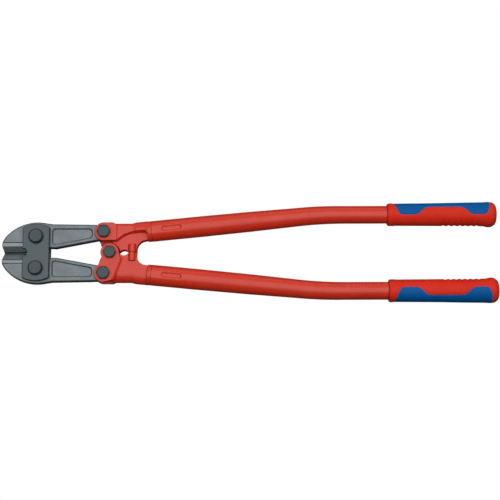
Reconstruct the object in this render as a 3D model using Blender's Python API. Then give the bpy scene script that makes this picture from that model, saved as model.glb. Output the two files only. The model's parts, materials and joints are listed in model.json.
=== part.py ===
"""Two-handed compound-action bolt cutters, 760 mm long, closed and lying flat.

The jaws point to -X, the grips to +X, and the tool's thickness is along Z.
Lengths are in millimetres with z = 0 at the tool's mid-plane; `point` turns them into metres
above the surface that the tool lies on. Each upper piece has a lower twin turned half a turn about X.
"""

from math import atan2, cos, degrees, hypot, pi, radians, sin

import bmesh
import bpy
from mathutils import Matrix, Vector

# ---------------------------------------------------------------- driving dimensions, millimetres
MM = 0.001
HALF_LENGTH = 380.0
MID_HEIGHT = 19.3
GAP = 0.3
HALF_GAP = GAP / 2
ROUND_STEPS = 32

LINK_BOLT = (-327.1, 24.75)
TAIL_BOLT = (-223.8, 32.3)
PIVOT = (-214.3, 0.0)

JAW_HALF_THICK = 7.0
EDGE_HALF_THICK = 0.5
BEVEL_TOP, BEVEL_HALF_THICK = 10.6, 6.2
STRIP_TOP = 16.1
BEVEL_END_X = -338.0
HEEL_RADIUS = 24.5
CROWN_CENTRE, CROWN_RADIUS = (-325.4, -17.1), 65.0
TAIL_RADIUS = 11.0
PANEL_DEPTH = 1.2
OPEN_PIVOT_TRAVEL, OPEN_PIVOT_DRIFT = 4.4, 0.2

PLATE_INNER, PLATE_OUTER = 7.3, 13.3
PLATE_HALF_WIDTH = 20.3
PLATE_CORNER_Y, PLATE_CROWN_Y = 38.8, 44.1
NOTCH_HALF_HEIGHT, NOTCH_STRAIGHT, NOTCH_DEPTH = 6.0, 1.5, 6.8

LINK_HEAD_RADIUS, LINK_SHANK_RADIUS, LINK_STUD_RADIUS = 10.9, 8.0, 5.0
TAIL_ACROSS_FLATS, PIVOT_ACROSS_FLATS = 18.0, 17.0
HEX_SHANK_RADIUS, HEX_STUD_RADIUS = 6.0, 4.0
HEX_HEAD_TOP = 19.1

EAR_INNER, EAR_OUTER = 7.3, 12.5
LOBE_RADIUS = 14.1
LOBE_CLEARANCE = 14.9
SLOT_RADIUS = 13.0
WEB_RECESS_Z, WEB_FLUSH_Z = 5.0, -9.5
THROAT_X = -172.8
STOP_X, STOP_RADIUS, STOP_CENTRES_Z, STOP_LENGTH = -180.2, 6.0, (5.0, -7.5), 13.0
COLLAR_X, TUBE_START_X, SPIGOT_END_X = -157.0, -150.0, -126.0
COLLAR_RADIUS, SPIGOT_RADIUS = 15.9, 13.0
RAIL_SECTIONS = (
    (-209.5, 14.0, 45.8, 11.0, 6.0), (-181.5, 20.0, 45.8, 11.0, 6.0), (-178.0, 28.0, 46.6, 11.5, 9.0),
    (-174.5, 29.0, 47.7, 13.0, 14.0), (-162.0, 30.0, 48.9, 14.0, 15.0), (-156.0, 30.0, 49.5, 15.5, 15.5),
)
RAIL_MIDDLE_Z, RAIL_REAR_HALF_WIDTH = 3.0, 15.0
STEP_DRAFT, STEP_MIDDLE_Z = (1.0, -1.7), 10.5
LUG_EDGE, LUG_DRAFT = [(-198.0, 9.0), (-203.0, 23.0), (-207.8, 35.4), (-212.0, 43.6)], 4.8

TUBE_WALL = 2.5
TUBE_END_X = 370.0
TUBE_STRAIGHT_END_X, TUBE_BEND_END_X = 78.0, 140.0
TUBE_START_Y, TUBE_END_Y = 34.2, 59.5
TUBE_RADII = ((-150, 16.0), (-75, 16.0), (0, 15.5), (74, 14.3), (145, 13.65), (370, 13.65))

GRIP_START_X, GRIP_COLLAR_END_X, BUTT_START_X = 212.0, 222.0, 362.0
GRIP_PROFILE = (
    (212.0, 15.9), (214.5, 17.6), (222.0, 17.6), (224.0, 17.2), (290.0, 17.7),
    (352.0, 18.2), (362.0, 18.5), (368.0, 19.0), (373.0, 18.9), (377.5, 17.2), (380.0, 13.0),
)
BUTT_FLARE = 0.6
INSERT_INNER_RADIUS = 15.3
INSERT_LOW_Y, INSERT_HIGH_Y = -3.2, 8.9
INSERT_OUTLINE = (
    (221.0, 24.0), (221.0, 17.5), (231.0, INSERT_LOW_Y), (256.0, INSERT_LOW_Y), (270.0, INSERT_HIGH_Y),
    (325.0, INSERT_HIGH_Y), (338.0, INSERT_LOW_Y), (362.0, INSERT_LOW_Y), (367.5, 6.0), (369.0, 24.0),
)
RIB_FIRST_X, RIB_PITCH, RIB_COUNT, RIB_RADIUS, RIB_DEPTH = 300.0, 10.0, 6, 4.0, 0.9


# ---------------------------------------------------------------- geometry helpers
def point(x, y, z):
    """A place in millimetres from the mid-plane, as a vector in metres above the floor."""
    return Vector((x * MM, y * MM, (z + MID_HEIGHT) * MM))


def arc(centre, radius, start, end, steps=8):
    """Points on a circle from one angle to another, in degrees, both ends included."""
    angles = [radians(start + (end - start) * i / steps) for i in range(steps + 1)]
    return [(centre[0] + radius * cos(a), centre[1] + radius * sin(a)) for a in angles]


def circle(centre, radius, steps=ROUND_STEPS):
    return arc(centre, radius, 0, 360 - 360 / steps, steps - 1)


def hexagon(centre, across_flats):
    return arc(centre, across_flats / 2 / cos(pi / 6), 0, 300, 5)


def rounded(corners, steps=5):
    """An outline from (x, y, radius) corners, each corner turned into an arc of that radius."""
    outline = []
    for i, (x, y, radius) in enumerate(corners):
        here = Vector((x, y))
        before = (Vector(corners[i - 1][:2]) - here).normalized()
        after = (Vector(corners[(i + 1) % len(corners)][:2]) - here).normalized()
        half_angle = before.angle(after) / 2
        if radius == 0 or half_angle > radians(89):
            outline.append((x, y))
            continue
        middle = here + (before + after).normalized() * (radius / sin(half_angle))
        start = here + before * (radius / (sin(half_angle) / cos(half_angle))) - middle
        end = here + after * (radius / (sin(half_angle) / cos(half_angle))) - middle
        turn = start.angle_signed(end)
        for step in range(steps + 1):
            share = -turn * step / steps
            outline.append((
                middle.x + start.x * cos(share) - start.y * sin(share),
                middle.y + start.x * sin(share) + start.y * cos(share),
            ))
    return outline


def object_of(name, shape):
    """Closes a bmesh into a mesh object whose faces point outwards."""
    bmesh.ops.remove_doubles(shape, verts=shape.verts, dist=1e-7)
    bmesh.ops.recalc_face_normals(shape, faces=shape.faces)
    mesh = bpy.data.meshes.new(name)
    shape.to_mesh(mesh)
    shape.free()
    result = bpy.data.objects.new(name, mesh)
    bpy.context.scene.collection.objects.link(result)
    return result


def prism(name, outline, low, high):
    """An outline in X and Y, extruded along Z."""
    shape = bmesh.new()
    floor = shape.faces.new([shape.verts.new(point(x, y, low)) for x, y in outline])
    moved = bmesh.ops.extrude_face_region(shape, geom=[floor])["geom"]
    rise = Vector((0, 0, (high - low) * MM))
    bmesh.ops.translate(shape, verts=[v for v in moved if isinstance(v, bmesh.types.BMVert)], vec=rise)
    return object_of(name, shape)


def bar_along(name, section, start, end, axis):
    """A section extruded along X (section in Y and Z) or along Y (section in X and Z)."""
    shape = bmesh.new()
    if axis == "X":
        ring = [shape.verts.new(point(start, y, z)) for y, z in section]
    else:
        ring = [shape.verts.new(point(x, start, z)) for x, z in section]
    cap = shape.faces.new(ring)
    moved = bmesh.ops.extrude_face_region(shape, geom=[cap])["geom"]
    travel = Vector((end - start, 0, 0)) if axis == "X" else Vector((0, end - start, 0))
    bmesh.ops.translate(shape, verts=[v for v in moved if isinstance(v, bmesh.types.BMVert)], vec=travel * MM)
    return object_of(name, shape)


def loft(name, rings, closed_loop=False):
    """Skins rings of the same number of points; a closed loop joins the last ring to the first."""
    shape = bmesh.new()
    rows = [[shape.verts.new(p) for p in ring] for ring in rings]
    count = len(rows[0])
    pairs = list(zip(rows, rows[1:]))
    if closed_loop:
        pairs.append((rows[-1], rows[0]))
    for first, second in pairs:
        for i in range(count):
            j = (i + 1) % count
            shape.faces.new((first[i], first[j], second[j], second[i]))
    if not closed_loop:
        shape.faces.new(rows[0])
        shape.faces.new(rows[-1])
    return object_of(name, shape)


def combine(body, others, operation):
    """Applies a Boolean of each other object to the body, then removes the others."""
    for other in others:
        modifier = body.modifiers.new(operation.lower(), "BOOLEAN")
        modifier.operation = operation
        modifier.solver = "EXACT"
        modifier.object = other
        graph = bpy.context.evaluated_depsgraph_get()
        result = bpy.data.meshes.new_from_object(body.evaluated_get(graph))
        body.modifiers.clear()
        body.data = result
        bpy.data.objects.remove(other)
    return body


def join(body, *others):
    return combine(body, others, "UNION")


def cut(body, *others):
    return combine(body, others, "DIFFERENCE")


def keep_inside(body, *others):
    return combine(body, others, "INTERSECT")


def hole(centre, radius, low=-30, high=30):
    return prism("hole", circle(centre, radius), low, high)


def turned_over(source, name):
    """A copy of a piece, turned half a turn about the tool's long axis."""
    copy = bpy.data.objects.new(name, source.data.copy())
    bpy.context.scene.collection.objects.link(copy)
    centre = Vector((0, 0, MID_HEIGHT * MM))
    turn = Matrix.Translation(centre) @ Matrix.Rotation(pi, 4, "X") @ Matrix.Translation(-centre)
    copy.data.transform(turn)
    return copy


def mirrored_y(place):
    return (place[0], -place[1])


# ---------------------------------------------------------------- jaws and link plates
def jaw_outline():
    crown = arc(CROWN_CENTRE, CROWN_RADIUS, 77.2, 139.0, 12)
    nose = [
        (-376.7, 22.2), (-378.7, 18.9), (-379.7, 16.0), (-HALF_LENGTH, 13.0), (-379.8, 10.3), (-376.4, HALF_GAP),
    ]
    throat = [(-343.0, HALF_GAP), (-341.2, 3.0)]
    heel = arc(LINK_BOLT, HEEL_RADIUS, -124, -46, 10)
    tail_low = [(-305.0, 7.6), (-297.0, 7.3)]
    tail_end = arc(TAIL_BOLT, TAIL_RADIUS, -78, 90, 14)
    tail_top = [(-242.0, 44.1), (-302.0, 45.0)]
    return crown + nose + throat + heel + tail_low + tail_end + tail_top


def make_upper_jaw():
    jaw = prism("upper_jaw", jaw_outline(), -JAW_HALF_THICK, JAW_HALF_THICK)
    deep = JAW_HALF_THICK + 5
    for side in (1, -1):
        ground = [
            (-5.0, side * EDGE_HALF_THICK), (HALF_GAP, side * EDGE_HALF_THICK),
            (BEVEL_TOP, side * BEVEL_HALF_THICK), (STRIP_TOP, side * (JAW_HALF_THICK + 0.01)),
            (STRIP_TOP, side * deep), (-5.0, side * deep),
        ]
        cut(jaw, bar_along("ground_bevel", ground, -400, BEVEL_END_X, "X"))
        panel = rounded([
            (-302.5, 37.4, 4), (-302.5, 11.6, 4), (-241.5, 23.4, 6), (-241.5, 37.4, 6),
        ])
        low, high = sorted((side * (JAW_HALF_THICK - PANEL_DEPTH), side * deep))
        cut(jaw, prism("tail_panel", panel, low, high))
    cut(jaw, hole(TAIL_BOLT, HEX_SHANK_RADIUS + GAP))
    return jaw


def open_pivot_slot():
    """The upper link bolt's hole, long enough towards the axis for the pivot that is left open."""
    x, y = LINK_BOLT[0] + OPEN_PIVOT_DRIFT, LINK_BOLT[1]
    radius = LINK_SHANK_RADIUS + GAP + 0.1
    top = arc((x, y), radius, 0, 180, 16)
    bottom = arc((x, y - OPEN_PIVOT_TRAVEL), radius, 180, 360, 16)
    return prism("open_pivot_slot", top + bottom, -30, 30)


def make_jaws():
    upper = make_upper_jaw()
    lower = turned_over(upper, "lower_jaw")
    cut(upper, open_pivot_slot())
    cut(lower, hole(mirrored_y(LINK_BOLT), LINK_SHANK_RADIUS + GAP))
    return [upper, lower]


def plate_outline():
    x = LINK_BOLT[0]
    left, right = x - PLATE_HALF_WIDTH, x + PLATE_HALF_WIDTH
    sag = PLATE_CROWN_Y - PLATE_CORNER_Y
    crown_radius = (PLATE_HALF_WIDTH ** 2 + sag ** 2) / (2 * sag)
    spread = degrees(atan2(PLATE_HALF_WIDTH, crown_radius - sag))
    top = arc((x, PLATE_CROWN_Y - crown_radius), crown_radius, 90 - spread, 90 + spread, 10)
    bottom = arc((x, crown_radius - PLATE_CROWN_Y), crown_radius, 270 - spread, 270 + spread, 10)
    round_end = [radians(angle) for angle in range(90, -91, -18)]
    notch = [(left, NOTCH_HALF_HEIGHT)]
    notch += [
        (left + NOTCH_STRAIGHT + (NOTCH_DEPTH - NOTCH_STRAIGHT) * cos(a), NOTCH_HALF_HEIGHT * sin(a))
        for a in round_end
    ]
    notch.append((left, -NOTCH_HALF_HEIGHT))
    assert abs(top[0][0] - right) < 0.01
    return top + notch + bottom


def make_link_plates():
    front = prism("front_link_plate", plate_outline(), PLATE_INNER, PLATE_OUTER)
    for centre in (LINK_BOLT, mirrored_y(LINK_BOLT)):
        cut(front, hole(centre, LINK_SHANK_RADIUS + GAP))
    return [front, turned_over(front, "rear_link_plate")]


# ---------------------------------------------------------------- bolts and nuts
def bolt(name, centre, head_outline, head_low, head_high, shank_radius, stud_radius, shank_low, stud_low):
    """A head on the front, a shank, and a thinner threaded stud that holds the nut."""
    body = prism(name, head_outline, head_low, head_high)
    shank = prism("shank", circle(centre, shank_radius), shank_low, head_low + 1)
    stud = prism("stud", circle(centre, stud_radius, 20), stud_low, shank_low + 1)
    return join(body, shank, stud)


def nut(name, centre, outline, stud_radius, low, high):
    return cut(prism(name, outline, low, high), prism("thread", circle(centre, stud_radius + GAP, 20), -40, 40))


def make_link_bolts():
    pieces = []
    for name, centre in (("upper", LINK_BOLT), ("lower", mirrored_y(LINK_BOLT))):
        face = PLATE_OUTER + GAP
        head = circle(centre, LINK_HEAD_RADIUS)
        pieces.append(bolt(
            f"{name}_link_bolt", centre, head, face, MID_HEIGHT - 0.2,
            LINK_SHANK_RADIUS, LINK_STUD_RADIUS, -PLATE_OUTER, -MID_HEIGHT + 0.8,
        ))
        pieces.append(nut(f"{name}_link_nut", centre, head, LINK_STUD_RADIUS, -MID_HEIGHT, -face))
    return pieces


def make_handle_bolts():
    pieces = []
    face = EAR_OUTER + GAP
    places = (
        ("upper_tail", TAIL_BOLT, TAIL_ACROSS_FLATS), ("lower_tail", mirrored_y(TAIL_BOLT), TAIL_ACROSS_FLATS),
        ("pivot", PIVOT, PIVOT_ACROSS_FLATS),
    )
    for name, centre, across_flats in places:
        head = hexagon(centre, across_flats)
        pieces.append(bolt(
            f"{name}_bolt", centre, head, face, HEX_HEAD_TOP,
            HEX_SHANK_RADIUS, HEX_STUD_RADIUS, -EAR_OUTER, -HEX_HEAD_TOP + 0.4,
        ))
        pieces.append(nut(f"{name}_nut", centre, head, HEX_STUD_RADIUS, -HEX_HEAD_TOP, -face))
    return pieces


# ---------------------------------------------------------------- handle tubes
def tube_centre_y(x):
    """A straight run that bends gently until it is parallel to the tool's axis."""
    slope = (TUBE_END_Y - TUBE_START_Y) / ((TUBE_STRAIGHT_END_X + TUBE_BEND_END_X) / 2 - TUBE_START_X)
    if x <= TUBE_STRAIGHT_END_X:
        return TUBE_START_Y + slope * (x - TUBE_START_X)
    if x >= TUBE_BEND_END_X:
        return TUBE_END_Y
    left = TUBE_BEND_END_X - x
    return TUBE_END_Y - slope * left ** 2 / (2 * (TUBE_BEND_END_X - TUBE_STRAIGHT_END_X))


def tube_radius(x):
    for (x0, r0), (x1, r1) in zip(TUBE_RADII, TUBE_RADII[1:]):
        if x <= x1:
            return r0 + (r1 - r0) * (x - x0) / (x1 - x0)
    return TUBE_RADII[-1][1]


def round_ring(x, radius, steps=ROUND_STEPS):
    """A circle across the handle's centreline at one place along it."""
    slope = atan2(tube_centre_y(x + 0.5) - tube_centre_y(x - 0.5), 1.0)
    ring = []
    for i in range(steps):
        angle = 2 * pi * i / steps
        across = radius * cos(angle)
        ring.append(point(x - across * sin(slope), tube_centre_y(x) + across * cos(slope), radius * sin(angle)))
    return ring


def make_upper_tube():
    stations = [TUBE_START_X, -75.0, 0.0, 74.0] + [74.0 + 9.0 * i for i in range(1, 8)] + [145.0, TUBE_END_X]
    outside = [round_ring(x, tube_radius(x), 24) for x in stations]
    inside = [round_ring(x, tube_radius(x) - TUBE_WALL, 24) for x in reversed(stations)]
    return loft("upper_handle_tube", outside + inside, closed_loop=True)


# ---------------------------------------------------------------- handle heads
def step_line():
    """Where the raised outer rail steps down to the web."""
    return [
        (-157.4, 29.5), (-158.4, 31.6), (-160.6, 33.0), (-169.0, 33.0), (-181.7, 31.8), (-191.2, 28.5), (-197.4, 24.6),
        (-203.9, 18.9),
    ]


def ear_with_pivot():
    """The ear that carries both the jaw-tail bolt and the centre pivot."""
    tail_lobe = arc(TAIL_BOLT, LOBE_RADIUS, 84, 205, 12)
    neck = [(-230.6, 18.0), (-229.2, 13.0)]
    pivot_lobe = arc(PIVOT, LOBE_RADIUS, 150, 330, 14)
    return tail_lobe + neck + pivot_lobe + LUG_EDGE


def ear_without_pivot():
    tail_lobe = arc(TAIL_BOLT, LOBE_RADIUS, 84, 280, 18)
    return tail_lobe + [
        (-204.4, 18.6), (-203.7, 22.0), (-203.7, 40.5), (-204.6, 43.2), (-206.8, 45.3), (-210.5, 46.5),
    ]


def web_outline():
    throat_corner = arc((THROAT_X + 15.0, 5.0), 15.0, 180, 100, 6)
    return (
        [(-206.0, HALF_GAP), (THROAT_X, HALF_GAP)] + throat_corner
        + [(-153.0, 20.5), (-153.0, 33.0), (-210.0, 33.0), (-210.0, 8.0)]
    )


def rail_ring(x, inner_y, outer_y, front_z, front_width):
    """The rail's section: a large round on the rear, a small one on the front that grows into the tube."""
    rear_height = RAIL_MIDDLE_Z - WEB_FLUSH_Z
    ring = [(inner_y, front_z), (inner_y, WEB_FLUSH_Z)]
    for angle in [radians(-90 + 90 * i / 8) for i in range(9)]:
        across = outer_y - RAIL_REAR_HALF_WIDTH * (1 - cos(angle))
        ring.append((across, RAIL_MIDDLE_Z + rear_height * sin(angle)))
    for angle in [radians(90 * i / 8) for i in range(1, 9)]:
        across = outer_y - front_width * (1 - cos(angle))
        ring.append((across, RAIL_MIDDLE_Z + (front_z - RAIL_MIDDLE_Z) * sin(angle)))
    return [point(x, y, z) for y, z in ring]


def make_rail():
    """The handle's outer bar: flat beside the jaw bolt, then round until it meets the tube."""
    bar = loft("rail", [rail_ring(*section) for section in RAIL_SECTIONS])
    beside = step_line() + [(-215.0, 18.9), (-215.0, 0.0), (-157.4, 0.0)]
    foot = [point(x + STEP_DRAFT[0], y + STEP_DRAFT[1], WEB_RECESS_Z - 0.01) for x, y in beside]
    above = [point(x - STEP_DRAFT[0], y - STEP_DRAFT[1], STEP_MIDDLE_Z * 2 - WEB_RECESS_Z) for x, y in beside]
    return cut(bar, loft("beside_step", [foot, above]))


def make_lug_slope():
    """The pivot lug's drafted edge, down to the web."""
    edge = LUG_EDGE + [(-216.0, 40.0), (-216.0, 9.0)]
    foot = [point(x + LUG_DRAFT if (x, y) in LUG_EDGE else x, y, WEB_FLUSH_Z + 0.05) for x, y in edge]
    top = [point(x, y, -EAR_OUTER + 0.01) for x, y in edge]
    return loft("lug_slope", [top, foot])


def make_upper_head():
    head = prism("upper_handle_head", ear_with_pivot(), -EAR_OUTER, -EAR_INNER + 0.01)
    stop = [
        (STOP_X + x, z) for x, z in
        arc((0, STOP_CENTRES_Z[0]), STOP_RADIUS, 0, 180, 10)
        + arc((0, STOP_CENTRES_Z[1]), STOP_RADIUS, 180, 360, 10)
    ]
    join(
        head,
        make_rail(),
        make_lug_slope(),
        prism("ear", ear_without_pivot(), EAR_INNER, EAR_OUTER - 0.01),
        prism("pivot_lobe", circle(PIVOT, LOBE_RADIUS - 0.01), -EAR_OUTER + 0.01, -HALF_GAP),
        prism("web", web_outline(), WEB_FLUSH_Z + 0.02, WEB_RECESS_Z),
        bar_along("stop", stop, HALF_GAP + 0.01, STOP_LENGTH, "Y"),
        loft("collar", [round_ring(x, COLLAR_RADIUS) for x in (COLLAR_X, TUBE_START_X - GAP)]),
        loft("spigot", [round_ring(x, SPIGOT_RADIUS, 24) for x in (COLLAR_X + 1, SPIGOT_END_X)]),
    )
    lens = [
        (-200.0, -1.0), (-199.3, 1.4), (-197.0, 3.4), (-194.6, 4.4), (-192.5, 4.7), (-190.4, 4.4), (-188.0, 3.4),
        (-186.0, 1.4), (-185.6, -1.0),
    ]
    return cut(
        head,
        hole(TAIL_BOLT, SLOT_RADIUS, -EAR_INNER, EAR_INNER),
        hole(PIVOT, LOBE_CLEARANCE, HALF_GAP - GAP + 0.01, 40),
        hole(TAIL_BOLT, HEX_SHANK_RADIUS + GAP),
        hole(PIVOT, HEX_SHANK_RADIUS + GAP),
        prism("lens", lens, -30, 30),
    )


# ---------------------------------------------------------------- grips
def grip_ring(x, radius, steps=ROUND_STEPS):
    """A ring of the grip's outside: its butt is a little deeper, and flares towards the other grip."""
    butt = 1.0 if x >= BUTT_START_X and x < HALF_LENGTH else 0.0
    ring = []
    for i in range(steps):
        angle = 2 * pi * i / steps
        inward = max(0.0, -cos(angle))
        y = radius * cos(angle) - butt * BUTT_FLARE * inward
        z = (radius + butt * 0.5) * sin(angle)
        z = max(-MID_HEIGHT, min(MID_HEIGHT, z))
        ring.append(point(x, TUBE_END_Y + y, z))
    return ring


def grip_blank(name, grow=0.0):
    return loft(name, [grip_ring(x, radius + grow) for x, radius in GRIP_PROFILE])


def insert_zone(name, shrink):
    """Everything on the outer side of the soft insert's edge, seen from the front."""
    edge = [(x, y + shrink) for x, y in INSERT_OUTLINE[1:-1]]
    first, last = INSERT_OUTLINE[0], INSERT_OUTLINE[-1]
    edge[0] = (edge[0][0] + shrink, edge[0][1])
    outline = [(first[0] + shrink, first[1])] + edge + [(last[0] - shrink, last[1])]
    return prism(name, [(x, y + TUBE_END_Y) for x, y in outline], -30, 30)


def bored_bar(name, radius, start=205.0, end=HALF_LENGTH + 5):
    return loft(name, [round_ring(x, radius) for x in (start, end)])


def make_upper_grip():
    core = grip_blank("upper_grip_core")
    pocket = cut(insert_zone("pocket", 0.0), bored_bar("pocket_floor", INSERT_INNER_RADIUS - GAP))
    cut(core, pocket, bored_bar("bore", TUBE_RADII[-1][1] + GAP, 205.0, TUBE_END_X + GAP))
    for i in range(RIB_COUNT):
        place = (RIB_FIRST_X + i * RIB_PITCH, TUBE_END_Y - 18.0 - RIB_RADIUS + RIB_DEPTH)
        cut(core, prism("rib_dip", circle(place, RIB_RADIUS, 16), -11, 11))
    insert = grip_blank("upper_grip_insert")
    keep_inside(insert, insert_zone("insert_zone", GAP))
    cut(insert, bored_bar("insert_floor", INSERT_INNER_RADIUS))
    return [core, insert]


# ---------------------------------------------------------------- finish, bodies and the whole tool
def material(name, colour, roughness, metallic):
    made = bpy.data.materials.new(name)
    made.use_nodes = True
    shader = made.node_tree.nodes["Principled BSDF"]
    shader.inputs["Base Color"].default_value = (*colour, 1)
    shader.inputs["Roughness"].default_value = roughness
    shader.inputs["Metallic"].default_value = metallic
    return made


def body_frame(name, centre):
    """An empty on a body's joint axis, which the body's pieces are parented to."""
    empty = bpy.data.objects.new(name, None)
    empty.location = point(*centre, 0) if centre else (0, 0, 0)
    bpy.context.scene.collection.objects.link(empty)
    return empty


def attach(piece, frame, finish):
    piece.data.transform(Matrix.Translation(-frame.location))
    piece.parent = frame
    piece.data.materials.clear()
    piece.data.materials.append(finish)
    for face in piece.data.polygons:
        face.material_index = 0
    piece.data.shade_smooth()
    piece.data.set_sharp_from_angle(angle=radians(35))


def make_handles():
    """The upper handle's pieces, and the same turned over for the lower handle."""
    upper = [make_upper_head(), make_upper_tube(), *make_upper_grip()]
    lower = [turned_over(piece, piece.name.replace("upper", "lower")) for piece in upper]
    return upper, lower


def clear_scene():
    for item in list(bpy.data.objects):
        bpy.data.objects.remove(item)


def build():
    clear_scene()
    steel = material("forged_steel", (0.20, 0.23, 0.24), 0.42, 0.7)
    plate_steel = material("plate_steel", (0.11, 0.13, 0.14), 0.45, 0.6)
    bolt_steel = material("bolt_steel", (0.08, 0.10, 0.11), 0.45, 0.7)
    red_paint = material("red_paint", (0.58, 0.03, 0.02), 0.35, 0.0)
    red_plastic = material("red_plastic", (0.60, 0.03, 0.015), 0.45, 0.0)
    blue_rubber = material("blue_rubber", (0.0, 0.08, 0.28), 0.6, 0.0)

    lower_handle_frame = body_frame("lower_handle_frame", None)
    upper_handle_frame = body_frame("upper_handle_frame", PIVOT)
    upper_jaw_frame = body_frame("upper_jaw_frame", TAIL_BOLT)
    lower_jaw_frame = body_frame("lower_jaw_frame", mirrored_y(TAIL_BOLT))
    link_frame = body_frame("link_plates_frame", mirrored_y(LINK_BOLT))

    upper_jaw, lower_jaw = make_jaws()
    attach(upper_jaw, upper_jaw_frame, steel)
    attach(lower_jaw, lower_jaw_frame, steel)
    for plate in make_link_plates():
        attach(plate, link_frame, plate_steel)
    for piece in make_link_bolts():
        attach(piece, link_frame, bolt_steel)
    for piece in make_handle_bolts():
        frame = upper_handle_frame if piece.name.startswith("upper") else lower_handle_frame
        attach(piece, frame, bolt_steel)
    upper_pieces, lower_pieces = make_handles()
    finishes = (red_paint, red_paint, red_plastic, blue_rubber)
    for pieces, frame in ((upper_pieces, upper_handle_frame), (lower_pieces, lower_handle_frame)):
        for piece, finish in zip(pieces, finishes):
            attach(piece, frame, finish)


build()
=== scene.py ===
"""Looks for two-handed bolt cutters: forged jaws, link plates, painted handles and two-colour grips.

Lengths are in millimetres from the tool's mid-plane; `at` turns them into metres in the row frame.
Each upper piece that has a lower twin is made once and turned half a turn about the tool's axis.
"""

import json
from math import atan2, cos, degrees, pi, radians, sin

import bmesh
import bpy
import numpy as np
from mathutils import Matrix, Vector


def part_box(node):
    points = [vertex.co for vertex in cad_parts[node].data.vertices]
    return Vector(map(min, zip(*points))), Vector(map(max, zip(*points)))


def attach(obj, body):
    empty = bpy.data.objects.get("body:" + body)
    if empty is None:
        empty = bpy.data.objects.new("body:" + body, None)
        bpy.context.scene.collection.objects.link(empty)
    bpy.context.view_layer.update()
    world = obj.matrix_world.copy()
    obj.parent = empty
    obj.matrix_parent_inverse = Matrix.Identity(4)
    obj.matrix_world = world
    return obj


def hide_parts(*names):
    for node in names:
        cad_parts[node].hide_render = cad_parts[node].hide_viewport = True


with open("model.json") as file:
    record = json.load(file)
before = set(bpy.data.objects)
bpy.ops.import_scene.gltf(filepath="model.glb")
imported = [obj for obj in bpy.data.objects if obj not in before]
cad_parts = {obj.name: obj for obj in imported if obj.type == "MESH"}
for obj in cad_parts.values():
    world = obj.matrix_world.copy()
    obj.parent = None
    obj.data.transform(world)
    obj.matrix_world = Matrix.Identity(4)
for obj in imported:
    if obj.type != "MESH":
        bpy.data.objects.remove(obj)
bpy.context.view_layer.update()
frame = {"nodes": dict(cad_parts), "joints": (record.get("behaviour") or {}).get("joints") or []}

# ---------------------------------------------------------------- sizes, millimetres
MM = 0.001
JOINTS = {joint["name"]: Vector(joint["pos_m"]) / MM for joint in frame["joints"]}
MID_HEIGHT = JOINTS["handle_pivot"].z
PIVOT = tuple(JOINTS["handle_pivot"].xy)
TAIL_BOLT = tuple(JOINTS["upper_jaw_pivot"].xy)
LINK_BOLT = (JOINTS["link_pivot"].x, -JOINTS["link_pivot"].y)
SIDE_SIGNS = {"upper": 1, "lower": -1}

FORGING_VOXEL = 0.5
JAW_VOXEL = 0.45
JAW_SOFTENING, HEAD_SOFTENING = 4, 9

# upper jaw: arcs and corners of its outline, seen from the front
JAW_HALF_THICK, JAW_RIM_RADIUS = 7.0, 2.6
CROWN_CENTRE, CROWN_RADIUS, HEEL_RADIUS, TAIL_RADIUS = (-325.4, -17.1), 65.0, 24.5, 11.0
NOSE = ((-376.7, 22.2), (-378.7, 18.9), (-379.7, 16.0), (-380.0, 13.0), (-379.8, 10.3), (-376.4, 0.0))
EDGE_END = (-343.0, 0.0)
TAIL_UNDERSIDE, TAIL_BACK = ((-305.0, 7.6), (-297.0, 7.3)), ((-242.0, 44.1), (-302.0, 45.0))
# ground flank: (y, z) up the face from the cutting edge
GROUND_SECTION = (
    (0.15, 0.25), (5.0, 3.5), (7.0, 4.65), (9.0, 5.55), (11.0, 6.15), (12.2, 6.4), (13.3, 6.55), (15.4, 6.65),
    (16.0, 6.0), (16.8, 7.05),
)
GROUND_START_X, GROUND_END_X = -400.0, -337.0
GROUND_OVERLAP_Y, GROUND_OUTSIDE_Z = -5.0, 20.0
EDGE_LAND, EDGE_LAND_END_X, EDGE_GAP = 0.25, -343.5, 0.02

# recess in the tail's face; each level is (how far the outline spreads, z)
PANEL_LEFT, PANEL_RIGHT, PANEL_TOP = -302.5, -241.5, 37.4
PANEL_LOW_LEFT, PANEL_LOW_RIGHT = 11.6, 23.4
PANEL_LEFT_RADIUS, PANEL_RIGHT_RADIUS = 4, 6
PANEL_LEVELS = ((1.5, 7.8), (-0.9, 5.3))

# link plates, with a notch in the end that faces the cut
PLATE_INNER, PLATE_OUTER = 7.3, 13.3
PLATE_EDGE_RADIUS = 0.9
PLATE_SAG = 5.3
NOTCH_LIP, NOTCH_DEPTH, NOTCH_HALF_HEIGHT = 1.5, 5.3, 6.0

# round bolts through the link plates, hexagon bolts through the handle heads
LINK_HEAD_RADIUS, LINK_FACE_RADIUS, LINK_SHANK_RADIUS = 10.9, 9.3, 8.0
TAIL_ACROSS_FLATS, PIVOT_ACROSS_FLATS = 18.0, 17.0
HEX_SHANK_RADIUS, HEX_STUD_RADIUS, LINK_STUD_RADIUS = 6.0, 4.0, 5.0
HEX_HEAD_TOP = 19.1
HEX_CORNER_ROUND, HEX_CHAMFER, HEX_FACE_CROWN = 0.5, 1.9, 0.15
HEX_CONE_SPREAD, HEX_CONE_POWER, HEX_CONE_STEPS = 3.4, 0.9, 8
LINK_HEAD_TOP, LINK_STUD_END, HEX_STUD_END = MID_HEIGHT - 0.2, -MID_HEIGHT + 0.8, -HEX_HEAD_TOP + 0.4
THREAD_PITCH, THREAD_DEPTH, THREAD_GAP = 1.25, 0.45, 0.2
EAR_OUTER = 12.5
WASHER_GAP = 0.3
BOLT_AROUND = 144

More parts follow.
